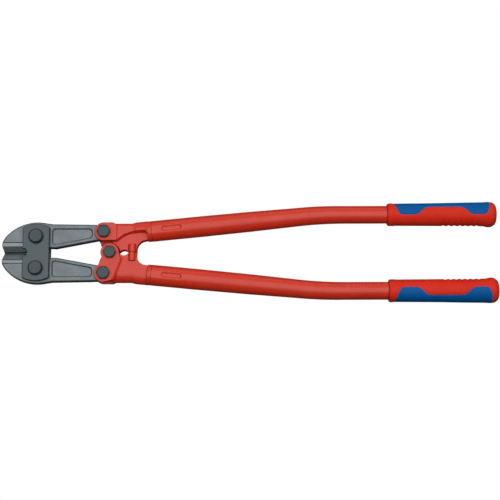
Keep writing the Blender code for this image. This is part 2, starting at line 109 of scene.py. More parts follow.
# upper handle tube; its radii are (x, radius)
TUBE_WALL, TUBE_AROUND = 2.5, 96
TUBE_START_X, TUBE_END_X = -150.25, 370.0
TUBE_STRAIGHT_END_X, TUBE_BEND_END_X = 78.0, 140.0
TUBE_START_Y, TUBE_END_Y = 34.2, 59.5
TUBE_RADII = ((-150, 16.0), (-75, 16.0), (0, 15.5), (74, 14.3), (145, 13.65), (370, 13.65))
CRIMP_HALF_HEIGHT, CRIMP_RELEASE = 15.05, 2.0
CRIMP_RELEASE_START_X, CRIMP_RELEASE_END_X = -135.0, -127.0
DIMPLE_X, DIMPLE_HALF_LENGTH, DIMPLE_HALF_WIDTH, DIMPLE_DEPTH = -120.0, 16.0, 4.5, 2.4

# upper grip; its profile is (x, radius), its insert's corners are (x, y from the grip's axis, radius)
GRIP_START_X, GRIP_END_X, GRIP_BORE_END_X = 212.0, 380.0, 371.0
GRIP_PROFILE = (
    (212.0, 15.4), (212.4, 16.3), (213.2, 17.1), (214.6, 17.55), (217.0, 17.6), (221.5, 17.55),
    (224.5, 17.25), (290.0, 17.7), (352.0, 18.2), (361.0, 18.4), (366.0, 18.75), (370.0, 18.8),
    (373.0, 18.5), (375.6, 17.6), (377.8, 16.0), (379.2, 14.0), (380.0, 11.5),
)
GRIP_BORE_RADIUS = 13.95
BUTT_FLARE, BUTT_RISE, BUTT_FALL = 1.1, (360, 368), (370, 378)
OUTER_FLARE, OUTER_RISE, OUTER_FALL = 0.6, (270, 350), (368, 379)
INSERT_FLOOR = 15.3
SEAM_GAP, SEAM_GROOVE_DEPTH, SEAM_GROOVE_HALF_WIDTH = 0.12, 0.45, 0.75
INSERT_LOW_Y, INSERT_HIGH_Y = -3.2, 8.9
INSERT_CORNERS = (
    (219.0, 26.0, 0), (221.0, 17.5, 2), (230.5, INSERT_LOW_Y, 8), (258.0, INSERT_LOW_Y, 13),
    (270.5, INSERT_HIGH_Y, 14), (328.0, INSERT_HIGH_Y, 13), (340.5, INSERT_LOW_Y, 13),
    (364.0, INSERT_LOW_Y, 6), (368.5, 8.0, 9), (370.0, 26.0, 0),
)
FINGER_FIRST_X, FINGER_PITCH, FINGER_COUNT, FINGER_DEPTH = 299.0, 8.6, 7, 0.9
FINGER_FLAT, FINGER_HALF_WIDTH = 0.6, 3.4

# camera: distance in metres, target in millimetres from the mid-plane
CAMERA_TILT, CAMERA_ROLL = radians(11.0), radians(-0.17)
CAMERA_DISTANCE, CAMERA_LENS, CAMERA_SENSOR = 2.2, 103.0, 36.0
CAMERA_TARGET = (0.5, 4.7, 0.0)


# ---------------------------------------------------------------- mesh helpers
def at(x, y, z):
    """A place in millimetres from the mid-plane, in metres in the row frame."""
    return Vector((x * MM, y * MM, (z + MID_HEIGHT) * MM))


def arc(centre, radius, start, end, steps):
    """Points on a circle, between two angles in degrees."""
    angles = [radians(start + (end - start) * i / steps) for i in range(steps + 1)]
    return [(centre[0] + radius * cos(a), centre[1] + radius * sin(a)) for a in angles]


def turns_of(around):
    """Evenly spaced angles, once round."""
    return 2 * pi * np.arange(around) / around


def rounded(corners, steps=8):
    """An outline from (x, y, radius) corners, each turned into an arc of that radius."""
    outline = []
    for i, (x, y, radius) in enumerate(corners):
        here = Vector((x, y))
        before = (Vector(corners[i - 1][:2]) - here).normalized()
        after = (Vector(corners[(i + 1) % len(corners)][:2]) - here).normalized()
        half_angle = before.angle(after) / 2
        if radius == 0 or half_angle > radians(89.5):
            outline.append((x, y))
            continue
        middle = here + (before + after).normalized() * (radius / sin(half_angle))
        reach = radius * cos(half_angle) / sin(half_angle)
        start = here + before * reach - middle
        turn = -start.angle_signed(here + after * reach - middle)
        for step in range(steps + 1):
            share = turn * step / steps
            outline.append((
                middle.x + start.x * cos(share) - start.y * sin(share),
                middle.y + start.x * sin(share) + start.y * cos(share),
            ))
    return outline


def new_object(name, mesh):
    """Puts a mesh in the scene under a name."""
    piece = bpy.data.objects.new(name, mesh)
    bpy.context.scene.collection.objects.link(piece)
    return piece


def object_of(name, shape):
    """Closes a bmesh into an object whose faces point outwards."""
    bmesh.ops.recalc_face_normals(shape, faces=shape.faces)
    mesh = bpy.data.meshes.new(name)
    shape.to_mesh(mesh)
    shape.free()
    return new_object(name, mesh)


def extruded(name, places, travel):
    """A flat outline of places in metres, drawn out along a vector in metres."""
    shape = bmesh.new()
    base = shape.faces.new([shape.verts.new(place) for place in places])
    moved = bmesh.ops.extrude_face_region(shape, geom=[base])["geom"]
    bmesh.ops.translate(shape, verts=[v for v in moved if isinstance(v, bmesh.types.BMVert)], vec=travel)
    return object_of(name, shape)


def prism(name, outline, low, high):
    """An outline in X and Y, extruded along Z."""
    return extruded(name, [at(x, y, low) for x, y in outline], Vector((0, 0, (high - low) * MM)))


def bar_along_x(name, section, start, end):
    """A section in Y and Z, extruded along X."""
    return extruded(name, [at(start, y, z) for y, z in section], Vector(((end - start) * MM, 0, 0)))


def skin(name, rows, closed_loop=False):
    """Skins an array of rings, rows by points by three, in millimetres from the mid-plane."""
    rows = np.asarray(rows, float)
    count, around = rows.shape[:2]
    places = rows.reshape(-1, 3) * MM
    places[:, 2] += MID_HEIGHT * MM
    first = np.arange(count if closed_loop else count - 1)
    row, column = np.meshgrid(first, np.arange(around), indexing="ij")
    following, beside = (row + 1) % count, (column + 1) % around
    quads = np.stack([
        row * around + column, row * around + beside,
        following * around + beside, following * around + column,
    ], axis=-1).reshape(-1, 4)
    mesh = bpy.data.meshes.new(name)
    faces = quads.tolist()
    if not closed_loop:
        faces.append(list(range(around)))
        faces.append(list(range((count - 1) * around, count * around)))
    mesh.from_pydata(places.tolist(), [], faces)
    piece = new_object(name, mesh)
    shape = bmesh.new()
    shape.from_mesh(mesh)
    bmesh.ops.recalc_face_normals(shape, faces=shape.faces)
    shape.to_mesh(mesh)
    shape.free()
    return piece


def applied(piece):
    """Replaces a piece's mesh by what its modifiers make of it."""
    graph = bpy.context.evaluated_depsgraph_get()
    result = bpy.data.meshes.new_from_object(piece.evaluated_get(graph))
    piece.modifiers.clear()
    piece.data = result
    return piece


def combine(piece, other, operation):
    """Joins, cuts or trims a piece with another one, which is used up."""
    modifier = piece.modifiers.new(operation.lower(), "BOOLEAN")
    modifier.operation = operation
    modifier.solver = "EXACT"
    modifier.material_mode = "TRANSFER"
    modifier.object = other
    applied(piece)
    bpy.data.objects.remove(other)
    return piece


def bevelled(piece, width, segments):
    """Rounds the edges where two faces meet at more than 30 degrees."""
    modifier = piece.modifiers.new("rounded_edges", "BEVEL")
    modifier.width = width * MM
    modifier.segments = segments
    modifier.limit_method = "ANGLE"
    modifier.angle_limit = radians(30)
    modifier.harden_normals = False
    return applied(piece)


def turned_over(source, name):
    """A copy of a piece, turned half a turn about the tool's long axis."""
    copy = new_object(name, source.data.copy())
    centre = Vector((0, 0, MID_HEIGHT * MM))
    turn = Matrix.Translation(centre) @ Matrix.Rotation(pi, 4, "X") @ Matrix.Translation(-centre)
    copy.data.transform(turn)
    return copy


def forged_blank(name, node, voxel, passes):
    """The CAD piece with every edge and inner corner softened, as a die leaves them."""
    blank = new_object(name, frame["nodes"][node].data.copy())
    blank.data.materials.clear()
    remesh = blank.modifiers.new("even_skin", "REMESH")
    remesh.mode = "VOXEL"
    remesh.voxel_size = voxel * MM
    soften = blank.modifiers.new("die_radius", "SMOOTH")
    soften.factor = 0.5
    soften.iterations = passes
    return applied(blank)


def mesh_places(piece):
    """The mesh's points in millimetres from the mid-plane, one row each."""
    places = np.empty(len(piece.data.vertices) * 3)
    piece.data.vertices.foreach_get("co", places)
    places = places.reshape(-1, 3) / MM
    places[:, 2] -= MID_HEIGHT
    return places


def set_mesh_places(piece, places):
    """Moves the mesh's points to places in millimetres from the mid-plane."""
    moved = places.copy()
    moved[:, 2] += MID_HEIGHT
    piece.data.vertices.foreach_set("co", (moved * MM).ravel())
    piece.data.update()


# ---------------------------------------------------------------- shader node groups
def group_with(name, inputs, outputs):
    """An empty shader node group with named float or colour sockets, and its two end nodes."""
    tree = bpy.data.node_groups.new(name, "ShaderNodeTree")
    for label, kind, value in inputs:
        socket = tree.interface.new_socket(label, in_out="INPUT", socket_type=f"NodeSocket{kind}")
        socket.default_value = value
    for label, kind in outputs:
        tree.interface.new_socket(label, in_out="OUTPUT", socket_type=f"NodeSocket{kind}")
    return tree, tree.nodes.new("NodeGroupInput"), tree.nodes.new("NodeGroupOutput")


def math_node(tree, operation, first, second=0.5, clamp=False):
    """A Math node; each of its two values is a socket or a number."""
    node = tree.nodes.new("ShaderNodeMath")
    node.operation = operation
    node.use_clamp = clamp
    for socket, value in zip(node.inputs, (first, second)):
        if isinstance(value, (int, float)):
            socket.default_value = value
        else:
            tree.links.new(value, socket)
    return node.outputs[0]


def stretched(tree, value, start, gain):
    """How far a value is above a start, times a gain, kept between 0 and 1."""
    return math_node(tree, "MULTIPLY", math_node(tree, "SUBTRACT", value, start), gain, clamp=True)


def noise_node(tree, vector, scale, detail=3.0, roughness=0.55):
    """Cloudy noise; its scale is a socket or a number."""
    node = tree.nodes.new("ShaderNodeTexNoise")
    node.inputs["Detail"].default_value = detail
    node.inputs["Roughness"].default_value = roughness
    tree.links.new(vector, node.inputs["Vector"])
    if isinstance(scale, (int, float)):
        node.inputs["Scale"].default_value = scale
    else:
        tree.links.new(scale, node.inputs["Scale"])
    return node.outputs["Fac"]


def object_place(tree):
    """Where a point is on its object, so that a pattern moves with the piece."""
    return tree.nodes.new("ShaderNodeTexCoord").outputs["Object"]


def make_mottle_group():
    """Two sizes of cloudy variation between two colours, with a matching roughness."""
    tree, given, result = group_with(
        "mottle",
        [("Colour", "Color", (0.5, 0.5, 0.5, 1)), ("Patch Colour", "Color", (0.4, 0.4, 0.4, 1)),
         ("Patch Scale", "Float", 60.0), ("Speck Scale", "Float", 600.0), ("Amount", "Float", 0.5),
         ("Roughness", "Float", 0.5), ("Roughness Spread", "Float", 0.1)],
        [("Colour", "Color"), ("Roughness", "Float")],
    )
    place = object_place(tree)
    patches = noise_node(tree, place, given.outputs["Patch Scale"], 4.0)
    specks = noise_node(tree, place, given.outputs["Speck Scale"], 2.0)
    patch_share = math_node(tree, "MULTIPLY", patches, 0.65)
    speck_share = math_node(tree, "MULTIPLY", specks, 0.35)
    blend = math_node(tree, "ADD", patch_share, speck_share)
    mask = math_node(tree, "MULTIPLY", stretched(tree, blend, 0.38, 4.0), given.outputs["Amount"])
    mix = tree.nodes.new("ShaderNodeMix")
    mix.data_type = "RGBA"
    tree.links.new(mask, mix.inputs["Factor"])
    tree.links.new(given.outputs["Colour"], mix.inputs["A"])
    tree.links.new(given.outputs["Patch Colour"], mix.inputs["B"])
    tree.links.new(mix.outputs["Result"], result.inputs["Colour"])
    centred = math_node(tree, "SUBTRACT", blend, 0.5)
    spread = math_node(tree, "MULTIPLY", centred, given.outputs["Roughness Spread"])
    doubled = math_node(tree, "MULTIPLY", spread, 2.0)
    tree.links.new(math_node(tree, "ADD", given.outputs["Roughness"], doubled), result.inputs["Roughness"])
    return tree


def make_edge_wear_and_hollow_shade_group():
    """A ragged mask of the outer edges, where a finish rubs off, and a plain one of the hollows, for painted
    shade.
    """
    tree, given, result = group_with(
        "edge_wear_and_hollow_shade",
        [("Start", "Float", 0.53), ("Sharpness", "Float", 18.0), ("Break Up Scale", "Float", 180.0)],
        [("Mask", "Float"), ("Hollow_Shade", "Float")],
    )
    curve = tree.nodes.new("ShaderNodeNewGeometry").outputs["Pointiness"]
    noise = noise_node(tree, object_place(tree), given.outputs["Break Up Scale"], 4.0, 0.6)
    ragged = math_node(tree, "MULTIPLY", math_node(tree, "SUBTRACT", noise, 0.5), 0.05)
    outer = math_node(tree, "ADD", curve, ragged)
    rubbed = stretched(tree, outer, given.outputs["Start"], given.outputs["Sharpness"])
    tree.links.new(rubbed, result.inputs["Mask"])
    # painted shade: the hollow mask grows where the surface curves inwards
    below = math_node(tree, "SUBTRACT", 0.48, curve)
    hollow_shade = math_node(tree, "MULTIPLY", below, given.outputs["Sharpness"], clamp=True)
    tree.links.new(hollow_shade, result.inputs["Hollow_Shade"])
    return tree


def make_fine_relief_group():
    """A height for pebbled skins: forging scale, powder coat or moulded texture."""
    tree, given, result = group_with(
        "fine_relief",
        [("Scale", "Float", 800.0), ("Coarse Share", "Float", 0.3)],
        [("Height", "Float")],
    )
    place = object_place(tree)
    fine = noise_node(tree, place, given.outputs["Scale"], 2.0)
    coarse = noise_node(tree, place, math_node(tree, "MULTIPLY", given.outputs["Scale"], 0.22), 3.0)
    weighed = math_node(tree, "MULTIPLY", coarse, given.outputs["Coarse Share"])
    tree.links.new(math_node(tree, "ADD", fine, weighed), result.inputs["Height"])
    return tree


def make_brush_lines_group():
    """Fine parallel scratches left by grinding or rolling, stretched along one direction."""
    tree, given, result = group_with(
        "brush_lines",
        [("Along", "Float", 25.0), ("Across", "Float", 1400.0), ("Turn", "Float", 0.0)],
        [("Value", "Float")],
    )
    turn = tree.nodes.new("ShaderNodeVectorRotate")
    turn.rotation_type = "Z_AXIS"
    tree.links.new(object_place(tree), turn.inputs["Vector"])
    tree.links.new(given.outputs["Turn"], turn.inputs["Angle"])
    stretch = tree.nodes.new("ShaderNodeCombineXYZ")
    tree.links.new(given.outputs["Along"], stretch.inputs["X"])
    tree.links.new(given.outputs["Across"], stretch.inputs["Y"])
    tree.links.new(given.outputs["Across"], stretch.inputs["Z"])
    scaled = tree.nodes.new("ShaderNodeVectorMath")
    scaled.operation = "MULTIPLY"
    tree.links.new(turn.outputs["Vector"], scaled.inputs[0])
    tree.links.new(stretch.outputs["Vector"], scaled.inputs[1])
    tree.links.new(noise_node(tree, scaled.outputs["Vector"], 1.0, 3.0), result.inputs["Value"])
    return tree


def make_crevice_group():
    """A mask of the corners and gaps, where painted shade darkens the colour."""
    tree, given, result = group_with(
        "crevice", [("Reach", "Float", 0.003), ("Strength", "Float", 1.0)], [("Mask", "Float")],
    )
    nearby = tree.nodes.new("ShaderNodeAmbientOcclusion")
    nearby.samples = 8
    tree.links.new(given.outputs["Reach"], nearby.inputs["Distance"])
    covered = math_node(tree, "SUBTRACT", 1.0, nearby.outputs["AO"])
    tree.links.new(stretched(tree, covered, 0.12, given.outputs["Strength"]), result.inputs["Mask"])
    return tree


GROUPS = {
    "crevice": make_crevice_group(),
    "mottle": make_mottle_group(),
    "edge_wear_and_hollow_shade": make_edge_wear_and_hollow_shade_group(),
    "fine_relief": make_fine_relief_group(),
    "brush_lines": make_brush_lines_group(),
}


# ---------------------------------------------------------------- materials
# painted shade: the near-black colour that corners and gaps of the steel parts darken to
CREVICE_SHADE = (0.006, 0.008, 0.009)


def place_group(tree, name, **values):
    """Puts a group in a material and sets its inputs; Patch_Colour stands for Patch Colour."""
    node = tree.nodes.new("ShaderNodeGroup")
    node.node_tree = GROUPS[name]
    for label, value in values.items():
        node.inputs[label.replace("_", " ")].default_value = value
    return node


def mixed_colour(tree, mask, under, over):
    """One colour over another where the mask is white; each is a socket or three numbers."""
    node = tree.nodes.new("ShaderNodeMix")
    node.data_type = "RGBA"
    tree.links.new(mask, node.inputs["Factor"])
    for value, socket in ((under, node.inputs["A"]), (over, node.inputs["B"])):
        if isinstance(value, tuple):
            socket.default_value = (*value, 1)
        else:
            tree.links.new(value, socket)
    return node.outputs["Result"]


def bump(tree, shader, height, strength, distance):
    """Raises a height by a distance in millimetres."""
    node = tree.nodes.new("ShaderNodeBump")
    node.inputs["Strength"].default_value = strength
    node.inputs["Distance"].default_value = distance * MM
    tree.links.new(height, node.inputs["Height"])
    tree.links.new(node.outputs["Normal"], shader.inputs["Normal"])


def painted_crevice_shade(tree, colour, shade_colour, reach, strength):
    """The colour, with painted shade darkening the corners and gaps; reach is in millimetres."""
    crevice = place_group(tree, "crevice", Reach=reach * MM, Strength=strength)
    return mixed_colour(tree, crevice.outputs["Mask"], colour, shade_colour)


def principled(name, metallic, specular=0.5):
    """A new material, its node tree and its shader."""
    made = bpy.data.materials.new(name)
    made.use_nodes = True
    shader = made.node_tree.nodes.get("Principled BSDF")
    shader.inputs["Metallic"].default_value = metallic
    shader.inputs["Specular IOR Level"].default_value = specular
    return made, made.node_tree, shader


def grey_steel(name, colour, patch, worn, roughness, relief_scale, relief):
    """Phosphated or blackened steel: cloudy grey, lighter where it rubs, with painted shade in its hollows
    and crevices.
    """
    made, tree, shader = principled(name, metallic=0.75)
    mottle = place_group(
        tree, "mottle", Colour=(*colour, 1), Patch_Colour=(*patch, 1),
        Patch_Scale=55.0, Speck_Scale=700.0, Amount=0.75, Roughness=roughness, Roughness_Spread=0.16,
    )
    wear_and_shade = place_group(tree, "edge_wear_and_hollow_shade", Start=0.54, Sharpness=14.0, Break_Up_Scale=220.0)
    edges_worn = mixed_colour(tree, wear_and_shade.outputs["Mask"], mottle.outputs["Colour"], worn)
    # painted shade: hollows darken to under half the steel's colour
    with_hollow_shade = mixed_colour(tree, wear_and_shade.outputs["Hollow_Shade"], edges_worn, tuple(0.45 * c for c in colour))
    # painted shade: corners and gaps found by ambient occlusion darken to near black
    tree.links.new(painted_crevice_shade(tree, with_hollow_shade, CREVICE_SHADE, 3.5, 1.8), shader.inputs["Base Color"])
    smoother = math_node(tree, "MULTIPLY", wear_and_shade.outputs["Mask"], 0.12)
    rough = math_node(tree, "SUBTRACT", mottle.outputs["Roughness"], smoother, clamp=True)
    tree.links.new(rough, shader.inputs["Roughness"])
    grain = place_group(tree, "fine_relief", Scale=relief_scale, Coarse_Share=0.8)
    bump(tree, shader, grain.outputs["Height"], 0.5, relief)
    return made


def ground_steel():
    """Ground flanks of the cutting edges, with grinding lines across them."""
    made, tree, shader = principled("ground_steel", metallic=0.95)
    mottle = place_group(
        tree, "mottle", Colour=(0.135, 0.150, 0.155, 1), Patch_Colour=(0.105, 0.118, 0.125, 1),
        Patch_Scale=70.0, Speck_Scale=500.0, Amount=0.6, Roughness=0.26, Roughness_Spread=0.10,
    )
    lines = place_group(tree, "brush_lines", Along=40.0, Across=2200.0, Turn=pi / 2)
    streak = stretched(tree, lines.outputs["Value"], 0.35, 0.9)
    streaked = mixed_colour(tree, streak, mottle.outputs["Colour"], (0.17, 0.185, 0.19))
    tree.links.new(streaked, shader.inputs["Base Color"])
    tree.links.new(mottle.outputs["Roughness"], shader.inputs["Roughness"])
    bump(tree, shader, lines.outputs["Value"], 0.35, 0.06)
    return made


def rolled_steel():
    """Blackened rolled plate with faint lines along its length."""
    made, tree, shader = principled("rolled_steel", metallic=0.7)
    mottle = place_group(
        tree, "mottle", Colour=(0.050, 0.065, 0.070, 1), Patch_Colour=(0.064, 0.080, 0.087, 1),
        Patch_Scale=45.0, Speck_Scale=600.0, Amount=0.7, Roughness=0.42, Roughness_Spread=0.14,
    )
    wear_and_shade = place_group(tree, "edge_wear_and_hollow_shade", Start=0.54, Sharpness=12.0, Break_Up_Scale=240.0)
    lines = place_group(tree, "brush_lines", Along=30.0, Across=1500.0, Turn=pi / 2)
    worn = mixed_colour(tree, wear_and_shade.outputs["Mask"], mottle.outputs["Colour"], (0.15, 0.165, 0.17))
    streak = stretched(tree, lines.outputs["Value"], 0.4, 0.7)
    streaked = mixed_colour(tree, streak, worn, (0.085, 0.10, 0.105))
    # painted shade: corners and gaps found by ambient occlusion darken to near black
    tree.links.new(painted_crevice_shade(tree, streaked, CREVICE_SHADE, 3.5, 1.8), shader.inputs["Base Color"])
    tree.links.new(mottle.outputs["Roughness"], shader.inputs["Roughness"])
    bump(tree, shader, lines.outputs["Value"], 0.25, 0.05)
    return made


def red_powder_coat():
    """Semi-gloss red powder coat: fine orange peel, paler on sharp edges, with painted shade in its hollows
    and crevices.
    """
    made, tree, shader = principled("red_powder_coat", metallic=0.0, specular=0.42)
    mottle = place_group(
        tree, "mottle", Colour=(0.60, 0.030, 0.009, 1), Patch_Colour=(0.55, 0.024, 0.007, 1),
        Patch_Scale=35.0, Speck_Scale=500.0, Amount=0.8, Roughness=0.38, Roughness_Spread=0.12,
    )
    wear_and_shade = place_group(tree, "edge_wear_and_hollow_shade", Start=0.60, Sharpness=10.0, Break_Up_Scale=300.0)
    edges = mixed_colour(tree, wear_and_shade.outputs["Mask"], mottle.outputs["Colour"], (0.66, 0.06, 0.03))
    # painted shade: hollows darken to a deeper red
    paint_with_hollow_shade = mixed_colour(tree, wear_and_shade.outputs["Hollow_Shade"], edges, (0.36, 0.010, 0.004))
    # painted shade: corners and gaps found by ambient occlusion darken to a deep red
    tree.links.new(painted_crevice_shade(tree, paint_with_hollow_shade, (0.12, 0.001, 0.001), 4.0, 2.1), shader.inputs["Base Color"])
    tree.links.new(mottle.outputs["Roughness"], shader.inputs["Roughness"])
    peel = place_group(tree, "fine_relief", Scale=650.0, Coarse_Share=0.9)
    bump(tree, shader, peel.outputs["Height"], 0.22, 0.05)
    return made


def moulded(name, colour, patch, scuffed, roughness, texture_scale, relief):
    """A moulded grip material: fine even texture, scuffed a little on its high places."""
    made, tree, shader = principled(name, metallic=0.0, specular=0.1)
    mottle = place_group(
        tree, "mottle", Colour=(*colour, 1), Patch_Colour=(*patch, 1),
        Patch_Scale=40.0, Speck_Scale=900.0, Amount=0.7, Roughness=roughness, Roughness_Spread=0.12,
    )
    wear_and_shade = place_group(tree, "edge_wear_and_hollow_shade", Start=0.56, Sharpness=10.0, Break_Up_Scale=260.0)
    worn = mixed_colour(tree, wear_and_shade.outputs["Mask"], mottle.outputs["Colour"], scuffed)
    tree.links.new(worn, shader.inputs["Base Color"])
    tree.links.new(mottle.outputs["Roughness"], shader.inputs["Roughness"])
    texture = place_group(tree, "fine_relief", Scale=texture_scale, Coarse_Share=0.25)
    bump(tree, shader, texture.outputs["Height"], 0.5, relief)
    return made


FINISHES = {
    "forged": grey_steel(
        "forged_steel", colour=(0.130, 0.150, 0.157), patch=(0.108, 0.127, 0.134), worn=(0.20, 0.215, 0.22),
        roughness=0.44, relief_scale=900.0, relief=0.10,
    ),
    "ground": ground_steel(),
    "rolled": rolled_steel(),
    "bolt": grey_steel(
        "bolt_steel", colour=(0.036, 0.049, 0.052), patch=(0.047, 0.060, 0.063), worn=(0.13, 0.14, 0.145),
        roughness=0.42, relief_scale=1300.0, relief=0.04,
    ),
    "paint": red_powder_coat(),
    "grip_red": moulded(
        "red_grip_plastic", colour=(0.64, 0.026, 0.010), patch=(0.58, 0.019, 0.007),
        scuffed=(0.70, 0.05, 0.025), roughness=0.46, texture_scale=1800.0, relief=0.05,
    ),
    "grip_blue": moulded(
        "blue_grip_rubber", colour=(0.0, 0.092, 0.31), patch=(0.0, 0.078, 0.26),
        scuffed=(0.01, 0.13, 0.36), roughness=0.55, texture_scale=1500.0, relief=0.08,
    ),
}


def finish_piece(piece, finish, node, body, sharp_angle=40):
    """Gives a piece its finish, shading with edges sharp above an angle, and its CAD body, and hides its CAD
    node.
    """
    if not piece.data.materials:
        piece.data.materials.append(FINISHES[finish])
    piece.data.shade_smooth()
    piece.data.set_sharp_from_angle(angle=radians(sharp_angle))
    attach(piece, body)
    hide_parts(node)
    return piece


# ---------------------------------------------------------------- jaws
def jaw_outline():
    """The upper jaw from the front, anticlockwise from the crown."""
    crown = arc(CROWN_CENTRE, CROWN_RADIUS, 77.2, 139.0, 40)
    heel = arc(LINK_BOLT, HEEL_RADIUS, -124, -46, 20)
    tail_end = arc(TAIL_BOLT, TAIL_RADIUS, -78, 90, 30)
    return [*crown, *NOSE, EDGE_END, *heel, *TAIL_UNDERSIDE, *tail_end, *TAIL_BACK]


def round_rim(piece, outline, half_thick, radius):
    """Turns the edges between a flat forging's faces and its sides into quarter rounds."""
    places = mesh_places(piece)
    x, y, z = places.T
    nearest = np.full(len(x), np.inf)
    foot_x, foot_y, in_x, in_y = (np.zeros(len(x)) for _ in range(4))
    for (ax, ay), (bx, by) in zip(outline, outline[1:] + outline[:1]):
        run, rise = bx - ax, by - ay
        length = np.hypot(run, rise)
        share = np.clip(((x - ax) * run + (y - ay) * rise) / length ** 2, 0, 1)
        near_x, near_y = ax + share * run, ay + share * rise
        distance = np.hypot(x - near_x, y - near_y)
        closer = distance < nearest
        nearest = np.where(closer, distance, nearest)
        for held, value in ((foot_x, near_x), (foot_y, near_y), (in_x, -rise / length), (in_y, run / length)):
            held[closer] = np.broadcast_to(value, x.shape)[closer]
    inset, below = radius - nearest, radius - (half_thick - np.abs(z))
    reach = np.hypot(inset, below)
    corner = (inset > 0) & (below > 0) & (reach > radius)
    pull = radius / reach[corner]
    depth = radius - inset[corner] * pull
    x[corner] = foot_x[corner] + in_x[corner] * depth
    y[corner] = foot_y[corner] + in_y[corner] * depth
    z[corner] = np.sign(z[corner]) * (half_thick - radius + below[corner] * pull)
    set_mesh_places(piece, np.stack([x, y, z], axis=-1))


def ground_cutter(side):
    """What the grinder takes off one face of a jaw: the flank, hollow near its top, and a fine groove."""
    section = [(GROUND_OVERLAP_Y, side * GROUND_SECTION[0][1])] + [(y, side * z) for y, z in GROUND_SECTION]
    section += [(GROUND_SECTION[-1][0], side * GROUND_OUTSIDE_Z), (GROUND_OVERLAP_Y, side * GROUND_OUTSIDE_Z)]
    cutter = bar_along_x("grinder", section, GROUND_START_X, GROUND_END_X)
    cutter.data.materials.append(FINISHES["ground"])
    return cutter


def panel_cutter(side):
    """The long recess in the tail's face; its walls slope in from the mouth to the floor."""
    rings = []
    for spread, z in PANEL_LEVELS:
        left, right, top = PANEL_LEFT - spread, PANEL_RIGHT + spread, PANEL_TOP + spread
        corners = (
            (left, top, PANEL_LEFT_RADIUS), (left, PANEL_LOW_LEFT - spread, PANEL_LEFT_RADIUS),
            (right, PANEL_LOW_RIGHT - spread, PANEL_RIGHT_RADIUS), (right, top, PANEL_RIGHT_RADIUS),
        )
        rings.append([(x, y, side * z) for x, y in rounded(corners)])
    cutter = skin("panel_cutter", rings)
    cutter.data.materials.append(FINISHES["forged"])
    return cutter


def close_edge(jaw):
    """Brings the two cutting edges together, so that no light shows between the closed jaws."""
    places = mesh_places(jaw)
    edge = (places[:, 1] < EDGE_LAND) & (places[:, 0] < EDGE_LAND_END_X)
    places[edge, 1] = EDGE_GAP
    set_mesh_places(jaw, places)


def make_jaws():
    """One forged jaw, ground and recessed on both faces, and its twin."""
    jaw = forged_blank("upper_jaw_forging", "upper_jaw", JAW_VOXEL, JAW_SOFTENING)
    round_rim(jaw, jaw_outline(), JAW_HALF_THICK, JAW_RIM_RADIUS)
    jaw.data.materials.append(FINISHES["forged"])
    for face in (1, -1):
        combine(jaw, ground_cutter(face), "DIFFERENCE")
        combine(jaw, panel_cutter(face), "DIFFERENCE")
    close_edge(jaw)
    lower = turned_over(jaw, "lower_jaw_forging")
    finish_piece(jaw, "forged", "upper_jaw", "upper_jaw", 25)
    finish_piece(lower, "forged", "lower_jaw", "lower_jaw", 25)


# ---------------------------------------------------------------- link plates
def plate_outline():
    """A strap with bowed long sides and a notch in the end that faces the cut."""
    low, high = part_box("front_link_plate")
    left, right, crown_y = low.x / MM, high.x / MM, high.y / MM
    middle, half_width = (left + right) / 2, (right - left) / 2
    radius = (half_width ** 2 + PLATE_SAG ** 2) / (2 * PLATE_SAG)
    spread = degrees(atan2(half_width, radius - PLATE_SAG))
    top = arc((middle, crown_y - radius), radius, 90 - spread, 90 + spread, 24)
    bottom = arc((middle, radius - crown_y), radius, 270 - spread, 270 + spread, 24)
    turns = [radians(angle) for angle in range(90, -91, -9)]
    notch = [(left + NOTCH_LIP + NOTCH_DEPTH * cos(a), NOTCH_HALF_HEIGHT * sin(a)) for a in turns]
    return top + [(left, NOTCH_HALF_HEIGHT)] + notch + [(left, -NOTCH_HALF_HEIGHT)] + bottom


def make_link_plates():
    """The front strap and its twin behind the jaws."""
    front = prism("front_link_strap", plate_outline(), PLATE_INNER, PLATE_OUTER)
    bevelled(front, PLATE_EDGE_RADIUS, 4)
    rear = turned_over(front, "rear_link_strap")
    finish_piece(front, "rolled", "front_link_plate", "link_plates")
    finish_piece(rear, "rolled", "rear_link_plate", "link_plates")


# ---------------------------------------------------------------- bolts and nuts
def polar_rows(centre, rows):
    """Rings about a centre from (z, radius) rows; a radius is a number or one value per angle."""
    angles = turns_of(BOLT_AROUND)
    rings = []
    for z, radius in rows:
        x = centre[0] + radius * np.cos(angles)
        y = centre[1] + radius * np.sin(angles)
        rings.append(np.stack([x, y, np.full(BOLT_AROUND, z)], axis=-1))
    return rings


def hex_radius(across_flats):
    """The radius of a hexagon at each angle, its corners slightly rounded off."""
    flat = across_flats / 2 / np.cos(np.mod(turns_of(BOLT_AROUND), pi / 3) - pi / 6)
    corner = across_flats / 2 / cos(pi / 6) - HEX_CORNER_ROUND
    return np.minimum(flat, corner)


def chamfered_hexagon(across_flats, low, high):
    """Rows of a hexagon whose outer corners are turned off in a cone, with a crowned face."""
    flat = hex_radius(across_flats)
    face_radius = across_flats / 2 - 0.5
    rows = [(low, flat - 0.3), (low + 0.3, flat)]
    for step in range(HEX_CONE_STEPS + 1):
        left = 1 - step / HEX_CONE_STEPS
        cone = face_radius + HEX_CONE_SPREAD * left ** HEX_CONE_POWER
        rows.append((high - HEX_FACE_CROWN - HEX_CHAMFER * left, np.minimum(flat, cone)))
    rows.append((high, face_radius - 0.45))
    return rows


def stud_rows(radius, start, end):
    """A threaded end, from its start down: shallow turns, then a chamfer."""
    rows = []
    for turn in range(int((start - end) / THREAD_PITCH)):
        z = start - turn * THREAD_PITCH
        rows += [(z, radius), (z - 0.45 * THREAD_PITCH, radius - THREAD_DEPTH)]
    return rows + [(end + 0.6, radius), (end, radius - 0.7)]


